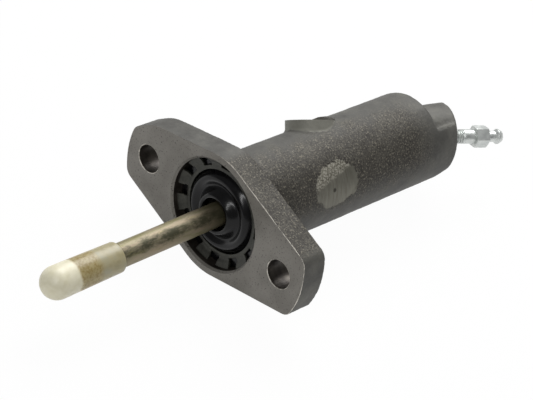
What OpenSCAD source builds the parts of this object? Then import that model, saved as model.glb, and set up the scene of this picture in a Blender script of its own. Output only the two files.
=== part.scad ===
// Clutch slave cylinder: cast iron body with a two-bolt flange, a loose pushrod and an angled bleed boss.
// The bore runs along Y. The flange's machined face is y = 0 and the pushrod leaves it towards -Y.

/* [Flange] */
// Distance between the two bolt holes
bolt_spacing = 72; // [62:0.5:78]
// Diameter of the bolt holes
bolt_hole_d = 11; // [6:0.5:13]
// Radius of the round middle of the flange
flange_mid_r = 25; // [24:0.5:29]
// Half the length of the flange, from the bore axis to the crown of an end
flange_reach = 47.6; // [44:0.2:54]
// Slant of the flange's long sides, in degrees
flange_slant = 16.2; // [12:0.1:19]
// Radius of the crowned flange ends
flange_crown_r = 34; // [26:1:60]
// Radius of the flange corners
flange_corner_r = 4.5; // [2:0.5:6]
// Thickness of the flange
flange_t = 11; // [10:0.5:18]

/* [Barrel] */
// Outer diameter of the barrel
barrel_d = 38; // [34:0.5:42]
// Length from the mounting face to the barrel's rear rim
barrel_len = 105.5; // [98:0.5:130]
// Diameter of the bore
bore_d = 22.2; // [20.6:0.1:24]
// Depth of the bore from the mounting face
bore_depth = 98; // [90:0.5:100]
// Radius of the fillet between flange and barrel
root_fillet_r = 3; // [1:0.5:5]
// Radius of the barrel's rear rim
rim_round_r = 2.5; // [1:0.5:4]
// Diameter of the recess that holds the dust boot
recess_d = 43; // [42:0.5:46]
// Depth of that recess
recess_depth = 8.8; // [8.8:0.1:9.5]
// Chamfer at the recess mouth
recess_chamfer = 0.8; // [0.2:0.1:1.5]

/* [Fluid port] */
// Nominal diameter of the port's thread
port_thread_d = 10; // [8:1:12]
// Pitch of the port's thread
port_thread_pitch = 1; // [0.75:0.25:1.5]
// Depth of the port's thread from its face
port_thread_depth = 6.8; // [5:0.1:7]
// Diameter of the feed hole between the port and the bore
port_feed_d = 3.5; // [2:0.5:5]
// Outer diameter of the port boss
port_boss_d = 19; // [16:0.5:22]
// Angle of the port about the bore, from +X towards +Z
port_theta = 127; // [90:1:180]
// Tilt of the port towards the rear
port_tilt = 16.6; // [0:0.2:20]
// Distance along the port's axis from the bore axis to the port's face
port_reach = 21.1; // [20.5:0.1:26]
// Height of the cast swell behind the port over the barrel
port_swell_h = 1; // [0.5:0.1:2]
// Diameter of that swell
port_swell_d = 26; // [22:0.5:30]
// Distance by which the swell lies behind the port's axis
port_swell_shift = 4.5; // [3:0.5:6]

/* [Bleed boss] */
// Angle between the bleed axis and the bore
bleed_angle = 25; // [15:1:35]
// Distance behind the rear rim where the bleed axis meets the bore axis
bleed_cross = 2.3; // [1:0.1:6]
// Length of the bleed boss from there to its outer edge
bleed_boss_len = 15.1; // [13:0.1:20]
// Diameter of the boss at its outer edge
bleed_boss_d = 26; // [20:0.5:28]
// Diameter of the boss where it meets the bore axis
bleed_boss_root_d = 24; // [18:0.5:26]
// Diameter of the machined land at the end of the boss
bleed_land_d = 14; // [11:0.5:17]
// Height of that land beyond the boss's edge
bleed_land_h = 3; // [1:0.5:4]
// Angle about the bore at which the full barrel wall gives way to the boss
cheek_theta = 45; // [30:1:60]
// Growth of the cheek's radius for each millimetre back from the boss's edge
cheek_taper = 0.55; // [0.5:0.01:0.8]
// Diameter of the passage from the bleed seat to the bore
bleed_passage_d = 2.5; // [1.5:0.1:3.5]

/* [Bleed screw] */
// Nominal diameter of the bleed screw's thread
bleed_thread_d = 6; // [5:1:8]
// Length of the screw's thread that sits in the boss, with its cone
bleed_engaged = 10; // [8:0.5:12]
// Height of the screw's sealing cone
bleed_cone_h = 1.6; // [1:0.1:2.2]
// Length of thread that shows between the land and the hexagon
bleed_exposed = 10.9; // [3:0.1:14]
// Size across the flats of the hexagon
bleed_hex_af = 8; // [7:0.5:11]
// Length of the hexagon
bleed_hex_len = 6.8; // [4:0.1:9]
// Turn of the hexagon about the screw's axis
bleed_hex_turn = 12.6; // [0:0.1:59]
// Diameter of the nipple's neck
bleed_neck_d = 4.5; // [3.5:0.1:5.5]
// Length of that neck
bleed_neck_len = 3.7; // [2:0.1:6]
// Diameter of the nipple's head
bleed_head_d = 6.2; // [5.6:0.1:7.5]
// Length of that head
bleed_head_len = 2.9; // [2:0.1:4]
// Diameter of the screw's drilling
bleed_drill_d = 1.8; // [1:0.1:2.2]

/* [Piston] */
// Length of the piston
piston_len = 17; // [16.5:0.5:20]
// Travel of the piston from its stop
piston_travel = 15; // [10:1:16]
// Length of each guiding land of the piston
piston_land_len = 4; // [2.5:0.5:5]
// Depth of the relief between the lands
piston_relief = 0.9; // [0.3:0.1:1.2]
// Depth of the ball's centre behind the piston's front face
ball_depth = 8.2; // [7.8:0.1:8.6]
// Thickness of the stop washer
washer_t = 1.5; // [1:0.1:2]
// Diameter of the hole in the stop washer
washer_hole_d = 15; // [14:0.5:18]
// Thickness of the circlip
circlip_t = 1.2; // [1:0.1:1.4]
// Width of the circlip's band
circlip_w = 2; // [1.6:0.1:2.4]
// Depth of the circlip's groove in the bore
circlip_groove_depth = 1.1; // [0.8:0.1:1.4]
// Wall between the recess floor and the circlip's groove
circlip_wall = 1.8; // [1.5:0.1:2.2]

/* [Cup and spring] */
// Height of the rubber cup
cup_h = 6.5; // [6:0.1:7.5]
// Thickness of the cup's base
cup_base_t = 3; // [2.5:0.1:3.4]
// Thickness of the cup's lip at its edge
cup_lip_t = 1.4; // [1:0.1:2]
// Thickness of the cup's lip at its root
cup_root_t = 3.4; // [3:0.1:3.8]
// Thickness of the spring seat
seat_t = 1.5; // [1:0.1:2]
// Length of the spring seat's spigot
seat_spigot_len = 5; // [3:0.5:7]
// Wire diameter of the spring
spring_wire_d = 1.3; // [1:0.1:1.6]
// Mean radius of the spring's narrow end
spring_front_r = 5.8; // [5.5:0.1:6]
// Mean radius of the spring's wide end
spring_rear_r = 9.3; // [8:0.1:9.4]
// Working turns of the spring
spring_turns = 7; // [5:1:9]

/* [Pushrod] */
// Diameter of the rod
rod_d = 9.1; // [8:0.1:9.6]
// Diameter of the rod's ball
ball_d = 12; // [11.8:0.1:12.4]
// Distance from the mounting face to the rod's bare end, inside the cap
rod_end_reach = 62.3; // [56:0.1:68]
// Distance from the mounting face to the cap's tip
cap_tip_reach = 77.6; // [74:0.1:84]
// Distance from the mounting face to the cap's open edge
cap_edge_reach = 45.2; // [40:0.1:50]
// Diameter of the cap at the foot of its dome
cap_tip_d = 12.2; // [11.8:0.1:14]
// Diameter of the cap at its open edge
cap_edge_d = 11.4; // [11.2:0.1:13]
// Length of the rod's knurled end
knurl_len = 9; // [5:1:12]
// Angle by which the loose rod hangs
rod_droop = 1.6; // [0:0.1:2]
// Wire diameter of the spring clip that holds the ball
clip_wire_d = 1; // [0.8:0.1:1.2]
// Opening of the spring clip, in degrees
clip_gap = 70; // [40:5:100]

/* [Dust boot] */
// Diameter of the boot's mouth
boot_mouth_d = 12.2; // [12:0.1:13]
// Thickness of the boot's wall
boot_wall = 1.2; // [1:0.1:1.5]
// Height of the boot's folds
boot_fold_h = 1.7; // [1:0.1:2]
// Number of ridges, counting the one round the mouth
boot_ridges = 2; // [1:1:3]
// Depth of the middle of the folds below the mounting face
boot_fold_y = 4.2; // [4:0.1:4.6]
// Inner diameter of the boot's bead
boot_bead_inner_d = 33; // [31:0.5:34]
// Diameter of the roll round the boot's mouth
boot_roll_d = 2; // [1.4:0.1:2.4]

/* [Boot ring] */
// Thickness of the ring's sheet
ring_t = 0.9; // [0.7:0.1:1.2]
// Inner diameter of the ring
ring_inner_d = 32.6; // [31:0.2:33]
// Outer diameter of the ring's flat band
ring_band_d = 37.4; // [36:0.2:38.5]
// Depth of the band below the mounting face
ring_depth = 4.2; // [3.6:0.1:4.8]
// Rise of the teeth from the band to their tips
ring_tooth_rise = 1.6; // [0.8:0.1:2]
// Number of teeth
ring_teeth = 12; // [8:1:16]
// Width of the slots between the teeth
ring_slot_w = 4.6; // [3:0.1:6]
// Place of the first slot about the bore, from +X
ring_slot_theta = 10; // [0:1:29]

/* [Fits] */
// Gap on each side of the piston in its bore
piston_gap = 0.04; // [0.02:0.01:0.08]
// Gap round the ball in its socket
ball_gap = 0.15; // [0.1:0.01:0.2]
// Gap between the piston and its stop washer
stop_gap = 0.2; // [0.1:0.05:0.3]
// Gap round the rubber cup in the bore
cup_gap = 0.06; // [0.04:0.01:0.1]
// Gap between fixed pieces that seat on each other
seat_gap = 0.05; // [0.02:0.01:0.1]
// Gap round the bleed screw's thread
thread_gap = 0.05; // [0.03:0.01:0.08]

/* [Hidden] */
$fn = 96;
slack = 1;                 // how far cutters run past a face

// Radii
bore_r = bore_d / 2;
barrel_r = barrel_d / 2;
recess_r = recess_d / 2;
ball_r = ball_d / 2;
rod_r = rod_d / 2;
socket_r = ball_r + ball_gap;
piston_r = bore_r - piston_gap;
// Depth of a metric thread in its hole, for each millimetre of pitch
thread_depth_share = 0.54;
port_hole_r = port_thread_d / 2 - thread_depth_share * port_thread_pitch;
bleed_hole_r = bleed_thread_d / 2;
bleed_screw_r = bleed_hole_r - thread_gap;
cup_lip_r = bore_r - cup_gap;
cup_floor_r = cup_lip_r - cup_root_t;

// Places along the bore
groove_y = recess_depth + circlip_wall;
groove_w = circlip_t + 2 * seat_gap;
washer_y = groove_y + groove_w;
piston_y = washer_y + washer_t + stop_gap;
ball_y = piston_y + ball_depth;
cup_y = piston_y + piston_len;
seat_y = cup_y + cup_base_t;
spring_y = seat_y + seat_t;
spring_end_y = bore_depth - seat_gap;
bleed_cross_y = barrel_len + bleed_cross;
// The feed hole opens into the bore just behind the cup when the piston is fully in
feed_margin = 0.4;
port_cross_y = cup_y + cup_h + piston_travel + feed_margin + port_feed_d / 2 / cos(port_tilt)
    - bore_r * tan(port_tilt);

// Places along the bleed axis, counted from the bore axis
land_z = bleed_boss_len + bleed_land_h;
bleed_tip_z = land_z - bleed_engaged;
bleed_hex_z = land_z + bleed_exposed;
bleed_neck_z = bleed_hex_z + bleed_hex_len;
bleed_head_z = bleed_neck_z + bleed_neck_len;
bleed_end_z = bleed_head_z + bleed_head_len;

// Turns local Z into +Y, so that a turned profile lies along the bore
module along_bore(y = 0) translate([0, y, 0]) rotate([-90, 0, 0]) children();

// Frame of the bleed axis: local Z runs out through the boss
module at_bleed() translate([0, bleed_cross_y, 0]) rotate([0, 0, -bleed_angle])
    rotate([-90, 0, 0]) children();

// Frame of the fluid port: local Z runs out through its face
module at_port() translate([0, port_cross_y, 0]) rotate([0, 90 - port_theta, 0])
    rotate([-port_tilt, 0, 0]) children();

// Frame of the loose rod, which hangs about the centre of its ball
module at_rod() translate([0, ball_y, 0]) rotate([rod_droop, 0, 0]) translate([0, -ball_y, 0]) children();

// A closed ring of rectangular section that lies along the bore
module washer_ring(y, t, inner_r, outer_r) along_bore(y) difference() {
    cylinder(h = t, r = outer_r);
    translate([0, 0, -slack]) cylinder(h = t + 2 * slack, r = inner_r);
}

// Points of an arc in a plane
function arc(centre, r, from, to, steps) =
    [for (i = [0:steps]) let (a = from + (to - from) * i / steps) centre + r * [cos(a), sin(a)]];

// Flange outline: a round middle, sides that touch it and crowned ends with round corners
side_n = [sin(flange_slant), cos(flange_slant)];
side_u = [cos(flange_slant), -sin(flange_slant)];
crown_c = [flange_reach - flange_crown_r, 0];
corner_n = flange_mid_r - flange_corner_r;
corner_u = crown_c * side_u
    + sqrt(pow(flange_crown_r - flange_corner_r, 2) - pow(corner_n - crown_c * side_n, 2));
corner_c = corner_n * side_n + corner_u * side_u;
crown_n = (corner_c - crown_c) / norm(corner_c - crown_c);

module flange_end() {
    side_touch = flange_mid_r * side_n;
    corner_side = corner_c + flange_corner_r * side_n;
    corner_crown = corner_c + flange_corner_r * crown_n;
    for (s = [-1, 1]) translate([corner_c.x, s * corner_c.y]) circle(r = flange_corner_r);
    polygon([side_touch, corner_side, corner_crown, [corner_crown.x, -corner_crown.y],
             [corner_side.x, -corner_side.y], [side_touch.x, -side_touch.y]]);
    intersection() {
        translate(crown_c) circle(r = flange_crown_r, $fn = 240);
        translate([corner_crown.x - seat_gap, -corner_crown.y])
            square([flange_crown_r, 2 * corner_crown.y]);
    }
}

module flange_outline() {
    circle(r = flange_mid_r);
    flange_end();
    mirror([1, 0]) flange_end();
}

// Barrel with the fillet at its root and a rounded rear rim
module barrel() along_bore() rotate_extrude() polygon(concat(
    [[0, 0], [barrel_r, 0], [barrel_r + root_fillet_r, flange_t]],
    arc([barrel_r + root_fillet_r, flange_t + root_fillet_r], root_fillet_r, 270, 180, 8),
    arc([barrel_r - rim_round_r, barrel_len - rim_round_r], rim_round_r, 0, 90, 8),
    [[0, barrel_len]]));

// The near side of the barrel runs on to the edge of the bleed boss, under a flat that meets the bore axis
module cheek() intersection() {
    reach = 2 * bleed_boss_len;
    inset = 0.025;  // keeps the cheek's wall just inside the barrel's
    along_bore(barrel_len - reach) cylinder(h = 2 * reach, r = barrel_r - inset);
    at_bleed() translate([0, 0, bleed_boss_len - reach])
        cylinder(h = reach, r1 = bleed_boss_d / 2 + cheek_taper * reach, r2 = bleed_boss_d / 2);
    rotate([0, -cheek_theta, 0]) translate([-2 * barrel_r, barrel_len - reach, -4 * barrel_r])
        cube([4 * barrel_r, 2 * reach, 4 * barrel_r]);
}

module bleed_boss() at_bleed() {
    translate([0, 0, -bleed_boss_len]) cylinder(h = bleed_boss_len, r = bleed_boss_root_d / 2);
    cylinder(h = bleed_boss_len, r1 = bleed_boss_root_d / 2, r2 = bleed_boss_d / 2);
    translate([0, 0, bleed_boss_len])
        cylinder(h = bleed_land_h, r1 = bleed_boss_d / 2, r2 = bleed_land_d / 2);
}

// Everything that is drilled along the bleed axis, with the conical seat of the screw
module bleed_drilling() at_bleed() {
    translate([0, 0, bleed_tip_z + bleed_cone_h]) cylinder(h = bleed_engaged + slack, r = bleed_hole_r);
    translate([0, 0, bleed_tip_z]) cylinder(h = bleed_cone_h, r1 = bleed_passage_d / 2, r2 = bleed_hole_r);
    passage_len = bleed_tip_z + (bleed_cross_y - bore_depth) / cos(bleed_angle) + bleed_passage_d;
    translate([0, 0, bleed_tip_z + slack / 2 - passage_len])
        cylinder(h = passage_len, r = bleed_passage_d / 2);
}

module port_boss() {
    at_port() cylinder(h = port_reach, r = port_boss_d / 2);
    intersection() {
        at_port() translate([0, port_swell_shift, 0])
            cylinder(h = port_reach + 2 * port_swell_d, r = port_swell_d / 2);
        along_bore(port_cross_y - port_swell_d) cylinder(h = 3 * port_swell_d, r = barrel_r + port_swell_h);
    }
}

// The spot face, the tapping and the feed hole of the port
module port_drilling() at_port() {
    translate([0, 0, port_reach]) cylinder(h = port_swell_d, r = port_boss_d / 2 + seat_gap);
    translate([0, 0, port_reach - port_thread_depth])
        cylinder(h = port_thread_depth + slack, r = port_hole_r);
    translate([0, 0, bore_r - 2 * slack]) cylinder(h = port_reach - bore_r, r = port_feed_d / 2);
}

module bore_cut() along_bore() {
    translate([0, 0, -slack]) cylinder(h = bore_depth + slack, r = bore_r);
    translate([0, 0, -slack]) cylinder(h = recess_depth + slack, r = recess_r);
    translate([0, 0, -recess_chamfer])
        cylinder(h = 2 * recess_chamfer, r1 = recess_r + 2 * recess_chamfer, r2 = recess_r);
    translate([0, 0, groove_y]) cylinder(h = groove_w, r = bore_r + circlip_groove_depth);
}

module cylinder_body() color("#5b5751") difference() {
    union() {
        along_bore() linear_extrude(flange_t) flange_outline();
        barrel();
        cheek();
        bleed_boss();
        port_boss();
    }
    bore_cut();
    bleed_drilling();
    port_drilling();
    for (s = [-1, 1]) translate([s * bolt_spacing / 2, 0, 0])
        along_bore(-slack) cylinder(h = flange_t + 2 * slack, r = bolt_hole_d / 2);
}

// Boot: a bead against the recess wall, waves inwards and a rolled mouth
boot_bead_r = boot_bead_inner_d / 2;
boot_mouth_r = boot_mouth_d / 2;
boot_bead_y = ring_depth + ring_t + seat_gap;
boot_roll_r = boot_roll_d / 2;

boot_roll_c = boot_mouth_r + boot_roll_r;

// Depth of the boot's wall: deep from the bead outwards, and on a ridge at the mouth
function fold_y(r) = boot_fold_y + boot_fold_h
    * cos(360 * (boot_ridges - 0.5) * max(0, boot_bead_r - r) / (boot_bead_r - boot_roll_c));

module dust_boot() color("#17181b") along_bore() rotate_extrude() {
    steps = 14 * boot_ridges;
    radii = [for (i = [0:steps]) boot_roll_c + (boot_bead_r + boot_wall / 2 - boot_roll_c) * i / steps];
    polygon(concat([for (r = radii) [r, fold_y(r) - boot_wall / 2]],
                   [for (i = [steps:-1:0]) [radii[i], fold_y(radii[i]) + boot_wall / 2]]));
    translate([boot_roll_c, fold_y(boot_roll_c)]) circle(r = boot_roll_r, $fn = 32);
    translate([boot_bead_r, boot_bead_y])
        square([recess_r - seat_gap - boot_bead_r, recess_depth - seat_gap - boot_bead_y]);
}

// Sheet ring whose bent teeth bite in the recess wall
module boot_ring() color("#565648") difference() {
    tip_r = recess_r - seat_gap;
    band_r = ring_band_d / 2;
    along_bore() rotate_extrude() polygon([
        [ring_inner_d / 2, ring_depth], [band_r, ring_depth], [tip_r, ring_depth - ring_tooth_rise],
        [tip_r, ring_depth - ring_tooth_rise + ring_t], [band_r, ring_depth + ring_t],
        [ring_inner_d / 2, ring_depth + ring_t]]);
    for (i = [0:ring_teeth - 1]) rotate([0, -ring_slot_theta - i * 360 / ring_teeth, 0])
        translate([band_r - ring_t, ring_depth - ring_tooth_rise - slack, -ring_slot_w / 2])
            cube([recess_r, ring_tooth_rise + ring_t + 2 * slack, ring_slot_w]);
}

// Internal circlip with two eyes for pliers
module stop_circlip() color("#6d6a62") along_bore(groove_y + seat_gap) linear_extrude(circlip_t) {
    outer_r = bore_r + circlip_groove_depth - seat_gap;
    inner_r = outer_r - circlip_w;
    open = 22;
    eye_r = 1.7;
    eye_hole_r = 0.8;
    eye_c = bore_r - seat_gap - eye_r;
    difference() {
        union() {
            difference() {
                circle(r = outer_r);
                circle(r = inner_r);
                polygon([[0, 0], 2 * outer_r * [cos(90 - open), sin(90 - open)],
                         2 * outer_r * [cos(90 + open), sin(90 + open)]]);
            }
            for (s = [-1, 1]) rotate(s * open) translate([0, eye_c]) circle(r = eye_r, $fn = 32);
        }
        for (s = [-1, 1]) rotate(s * open) translate([0, eye_c]) circle(r = eye_hole_r, $fn = 24);
    }
}

module stop_washer() color("#8d8a80")
    washer_ring(washer_y, washer_t, washer_hole_d / 2, bore_r - seat_gap);

// Clip that snaps into the piston's socket in front of the ball
clip_stand = 0.35;  // from the ball's radius out to the wire's middle
clip_r = ball_r + clip_stand;
clip_ahead = sqrt(pow(ball_r + clip_wire_d / 2 + ball_gap, 2) - pow(clip_r, 2));

module rod_clip() color("#9a968c") along_bore(ball_y - clip_ahead) rotate([0, 0, clip_gap / 2])
    rotate_extrude(angle = 360 - clip_gap) translate([clip_r, 0]) circle(d = clip_wire_d, $fn = 20);

module piston() color("#a9a79f") difference() {
    chamfer = 0.7;
    relief_r = piston_r - piston_relief;
    along_bore(piston_y) rotate_extrude() polygon([
        [0, 0], [piston_r - chamfer, 0], [piston_r, chamfer], [piston_r, piston_land_len],
        [relief_r, piston_land_len + piston_relief], [relief_r, piston_len - piston_land_len - piston_relief],
        [piston_r, piston_len - piston_land_len], [piston_r, piston_len - chamfer],
        [piston_r - chamfer, piston_len], [0, piston_len]]);
    translate([0, ball_y, 0]) sphere(r = socket_r);
    along_bore(piston_y - slack) cylinder(h = ball_depth + slack, r = socket_r);
    along_bore(piston_y - chamfer) cylinder(h = 2 * chamfer, r1 = socket_r + 2 * chamfer, r2 = socket_r);
    along_bore(ball_y - clip_ahead) rotate_extrude() translate([clip_r, 0])
        circle(r = clip_wire_d / 2 + seat_gap, $fn = 20);
}

// Cup with a flat base on the piston and a lip that opens to the fluid
module piston_cup() color("#1f1f21") along_bore(cup_y) rotate_extrude() {
    heel = 0.5;
    polygon([[0, 0], [cup_lip_r - heel, 0], [cup_lip_r, heel], [cup_lip_r - heel, cup_h / 2],
             [cup_lip_r, cup_h - heel], [cup_lip_r - cup_lip_t / 2, cup_h], [cup_lip_r - cup_lip_t, cup_h],
             [cup_floor_r, cup_base_t], [0, cup_base_t]]);
}

// Pressed seat that holds the cup's lip open and centres the spring
module spring_seat() color("#b5b1a4") along_bore(seat_y) rotate_extrude() {
    round_h = 0.4;
    spigot_r = spring_front_r - spring_wire_d / 2 - seat_gap;
    seat_end = seat_t + seat_spigot_len;
    polygon([[0, 0], [cup_floor_r - round_h, 0], [cup_floor_r, round_h], [cup_floor_r, seat_t],
             [spigot_r, seat_t], [spigot_r, seat_end - round_h], [spigot_r - round_h, seat_end],
             [0, seat_end]]);
}

// Conical spring with closed ends, swept as one tube
spring_len = spring_end_y - spring_y - seat_gap - spring_wire_d;
closed = 1;
coil_turns = spring_turns + 2 * closed;
rings_a_turn = 16;
wire_sides = 7;

// Share of the spring's length reached after t turns: each end coil rises by one wire
function coil_rise(t) = let (end_rise = spring_wire_d / spring_len)
    t < closed ? end_rise * t / closed
    : t > coil_turns - closed ? 1 - end_rise * (coil_turns - t) / closed
    : end_rise + (1 - 2 * end_rise) * (t - closed) / spring_turns;
function coil_r(t) = spring_front_r + (spring_rear_r - spring_front_r) * coil_rise(t);
function coil_y(t) = spring_y + seat_gap + spring_wire_d / 2 + spring_len * coil_rise(t);

module piston_spring() color("#77756f") {
    last = coil_turns * rings_a_turn;
    points = [for (i = [0:last]) let (t = i / rings_a_turn, a = 360 * t)
        for (k = [0:wire_sides - 1])
            let (b = 360 * k / wire_sides, r = coil_r(t) + spring_wire_d / 2 * cos(b))
                [r * cos(a), coil_y(t) + spring_wire_d / 2 * sin(b), r * sin(a)]];
    walls = [for (i = [0:last - 1], k = [0:wire_sides - 1]) let (n = (k + 1) % wire_sides, o = i * wire_sides)
        [o + k, o + n, o + wire_sides + n, o + wire_sides + k]];
    front_cap = [[for (k = [wire_sides - 1:-1:0]) k]];
    rear_cap = [[for (k = [0:wire_sides - 1]) last * wire_sides + k]];
    polyhedron(points, concat(walls, front_cap, rear_cap), convexity = 10);
}

// Rod with a ball at the piston and a straight knurl under the cap
module pushrod() color("#a69a6a") at_rod() difference() {
    end_chamfer = 0.8;
    ridges = 36;
    ridge_depth = 0.25;
    union() {
        translate([0, ball_y, 0]) sphere(r = ball_r);
        along_bore(-rod_end_reach) cylinder(h = end_chamfer, r1 = rod_r - end_chamfer, r2 = rod_r);
        along_bore(-rod_end_reach + end_chamfer)
            cylinder(h = rod_end_reach + ball_y - end_chamfer, r = rod_r);
    }
    for (i = [0:ridges - 1]) rotate([0, i * 360 / ridges, 0]) translate([rod_r, -rod_end_reach - slack, 0])
        rotate([0, 45, 0]) translate([-ridge_depth, 0, -ridge_depth])
            cube([2 * ridge_depth, knurl_len + slack, 2 * ridge_depth]);
}

// Moulded cap with a domed tip, pushed over the rod's end
module rod_cap() color("#e6e2cc") at_rod() difference() {
    dome_r = cap_tip_d / 2;
    edge_r = cap_edge_d / 2;
    edge_round = 0.4;
    along_bore(-cap_tip_reach) rotate_extrude() polygon(concat(
        arc([0, dome_r], dome_r, -90, 0, 16),
        [[edge_r, cap_tip_reach - cap_edge_reach - edge_round],
         [edge_r - edge_round, cap_tip_reach - cap_edge_reach], [0, cap_tip_reach - cap_edge_reach]]));
    along_bore(-rod_end_reach - seat_gap) cylinder(h = rod_end_reach, r = rod_r + seat_gap);
}

// Bleed screw: sealing cone, thread, hexagon and hose nipple, with its drilling
module bleed_screw() color("#c6c8c9") at_bleed() difference() {
    cone_tip_r = bleed_passage_d / 2;
    hex_chamfer = 0.6;
    head_taper = 0.9;
    hex_r = bleed_hex_af / 2 / cos(30);
    neck_r = bleed_neck_d / 2;
    head_r = bleed_head_d / 2;
    union() {
        translate([0, 0, bleed_tip_z + seat_gap])
            cylinder(h = bleed_cone_h, r1 = cone_tip_r - seat_gap, r2 = bleed_screw_r - seat_gap);
        translate([0, 0, bleed_tip_z + seat_gap + bleed_cone_h])
            cylinder(h = bleed_hex_z - bleed_tip_z - bleed_cone_h, r = bleed_screw_r);
        intersection() {
            translate([0, 0, bleed_hex_z]) rotate([0, 0, bleed_hex_turn])
                cylinder(h = bleed_hex_len, r = hex_r, $fn = 6);
            translate([0, 0, bleed_hex_z]) rotate_extrude() polygon([
                [0, 0], [hex_r - hex_chamfer, 0], [hex_r, hex_chamfer], [hex_r, bleed_hex_len - hex_chamfer],
                [hex_r - hex_chamfer, bleed_hex_len], [0, bleed_hex_len]]);
        }
        translate([0, 0, bleed_neck_z]) rotate_extrude() polygon([
            [0, -slack], [neck_r, -slack], [neck_r, bleed_neck_len],
            [head_r, bleed_neck_len + bleed_head_len / 4],
            [head_r, bleed_neck_len + bleed_head_len / 2],
            [head_r - head_taper, bleed_neck_len + bleed_head_len],
            [0, bleed_neck_len + bleed_head_len]]);
    }
    translate([0, 0, bleed_tip_z + 2 * bleed_cone_h])
        cylinder(h = bleed_end_z, r = bleed_drill_d / 2, $fn = 32);
    translate([-bleed_thread_d, 0, bleed_tip_z + 2 * bleed_cone_h + bleed_drill_d / 2])
        rotate([0, 90, 0]) cylinder(h = 2 * bleed_thread_d, r = bleed_drill_d / 2, $fn = 32);
}

cylinder_body();
dust_boot();
boot_ring();
stop_circlip();
stop_washer();
piston();
piston_cup();
spring_seat();
piston_spring();
rod_clip();
pushrod();
rod_cap();
bleed_screw();
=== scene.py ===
# Looks of a clutch slave cylinder, modelled round its packed construction model.
# Frame: +Y runs along the bore to the closed end, and the pushrod leaves towards -Y.
# X follows the bolt holes, and +Z is up.
import math

import bpy
from mathutils import Matrix, Vector, noise


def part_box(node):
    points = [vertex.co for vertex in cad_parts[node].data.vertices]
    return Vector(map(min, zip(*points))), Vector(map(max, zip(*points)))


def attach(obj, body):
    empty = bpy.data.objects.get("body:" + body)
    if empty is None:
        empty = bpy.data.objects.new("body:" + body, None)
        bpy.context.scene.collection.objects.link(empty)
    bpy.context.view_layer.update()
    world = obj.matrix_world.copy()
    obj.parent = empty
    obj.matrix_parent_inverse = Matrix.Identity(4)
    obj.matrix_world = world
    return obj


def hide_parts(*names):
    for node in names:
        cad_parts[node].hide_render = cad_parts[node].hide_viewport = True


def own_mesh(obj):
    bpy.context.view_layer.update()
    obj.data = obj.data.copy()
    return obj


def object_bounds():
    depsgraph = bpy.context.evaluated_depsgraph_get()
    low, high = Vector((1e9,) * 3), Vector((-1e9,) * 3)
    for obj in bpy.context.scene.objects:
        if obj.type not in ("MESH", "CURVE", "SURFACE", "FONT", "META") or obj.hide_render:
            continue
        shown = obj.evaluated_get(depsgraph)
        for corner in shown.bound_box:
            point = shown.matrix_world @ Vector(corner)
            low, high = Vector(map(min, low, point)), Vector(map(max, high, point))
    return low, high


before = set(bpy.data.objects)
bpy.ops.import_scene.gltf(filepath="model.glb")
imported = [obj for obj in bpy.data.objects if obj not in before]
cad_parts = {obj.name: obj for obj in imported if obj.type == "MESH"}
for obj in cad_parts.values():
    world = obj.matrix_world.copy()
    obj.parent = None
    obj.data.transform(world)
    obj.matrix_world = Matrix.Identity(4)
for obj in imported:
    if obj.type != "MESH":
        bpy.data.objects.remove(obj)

cad_low, cad_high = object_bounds()

MM = 0.001
TAU = 2 * math.pi

# Steps round a turned piece, a large one and the flange's outline
PLAIN_STEPS = 96
LARGE_STEPS = 160
OUTLINE_STEPS = 480

# How far a cutter runs on past the casting, and before the faced side, in millimetres
FAR = 60
OVER = 3

# Slots of the casting's machined metals, after the cast skin in slot 0
AS_FACED = 1
AS_DRILLED = 2
# Slot 3, the rubbed edge, is painted near white in places as a painted highlight
AS_RUBBED_PAINTED_HIGHLIGHT = 3

# Camera, fitted to the outlines in the photograph: angles in degrees, distances and lens in millimetres
CAMERA_AZIMUTH = 36.228
CAMERA_ELEVATION = 36.829
CAMERA_ROLL = 17.296
CAMERA_DISTANCE = 689.3
CAMERA_RIGHT = 19.8
CAMERA_UP = 5.52
CAMERA_LENS = 128.47
CAMERA_SENSOR = 36

# Sizes of the object in millimetres and degrees, as in its construction model
BARREL_R = 19.0
BARREL_LEN = 105.5
BORE_R = 11.1
BORE_DEPTH = 98.0
RECESS_R = 21.5
RECESS_DEPTH = 8.8
FLANGE_T = 11.0
FLANGE_MID_R = 25.0
FLANGE_REACH = 47.6
FLANGE_SLANT = 16.2
CROWN_R = 34.0
CORNER_R = 4.5
BOLT_X = 36.0
BOLT_HOLE_R = 5.5
FACING_STOCK = 1.2
BLEED_ANGLE = 25.0
BLEED_CROSS_Y = 107.8
BLEED_EDGE = 15.1
BLEED_LAND = 18.1
BLEED_LAND_R = 7.0
BLEED_ROOT_R = 12.0
BLEED_TIP = 8.1
PORT_THETA = 127.0
PORT_TILT = 16.6
PORT_Y = 51.02
PORT_REACH = 21.1
PORT_R = 9.5
PORT_THREAD = 6.8
PORT_DRILL_R = 4.46
PORT_THREAD_R = 5.0
BALL_Y = 21.8
ROD_DROOP = 1.6
ROD_R = 4.55
FIT = 0.05

# Sizes of the casting that differ a little from the construction model
BLEED_BOSS_R = 13.8
BARREL_END_MORE = 1.2
SHORT_CORNER_TURN = -128.9
SHORT_CORNER_REACH = 35.5

# Sides of the casting and the rod that their finish marks, in degrees from +X towards +Z
COARSE_SIDE = 51.0
STAIN_SIDE = 52.0


def on_barrel(degrees, y):
    """A point on the barrel's side, in millimetres, with its angle from +X towards +Z."""
    turn = math.radians(degrees)
    return Vector((BARREL_R * math.cos(turn), y, BARREL_R * math.sin(turn)))


# Bare ground spot on the barrel, its half widths, and the blowhole that the wheel opened in it
GROUND_CENTRE = on_barrel(30, 47.0)
GROUND_R = Vector((9.0, 11.6, 9.0))
GROUND_PIT = on_barrel(25, 45.2)


def mm(*values):
    """Millimetres to metres, for one number or for a point."""
    scaled = [v * MM for v in values]
    return scaled[0] if len(scaled) == 1 else Vector(scaled)


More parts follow.
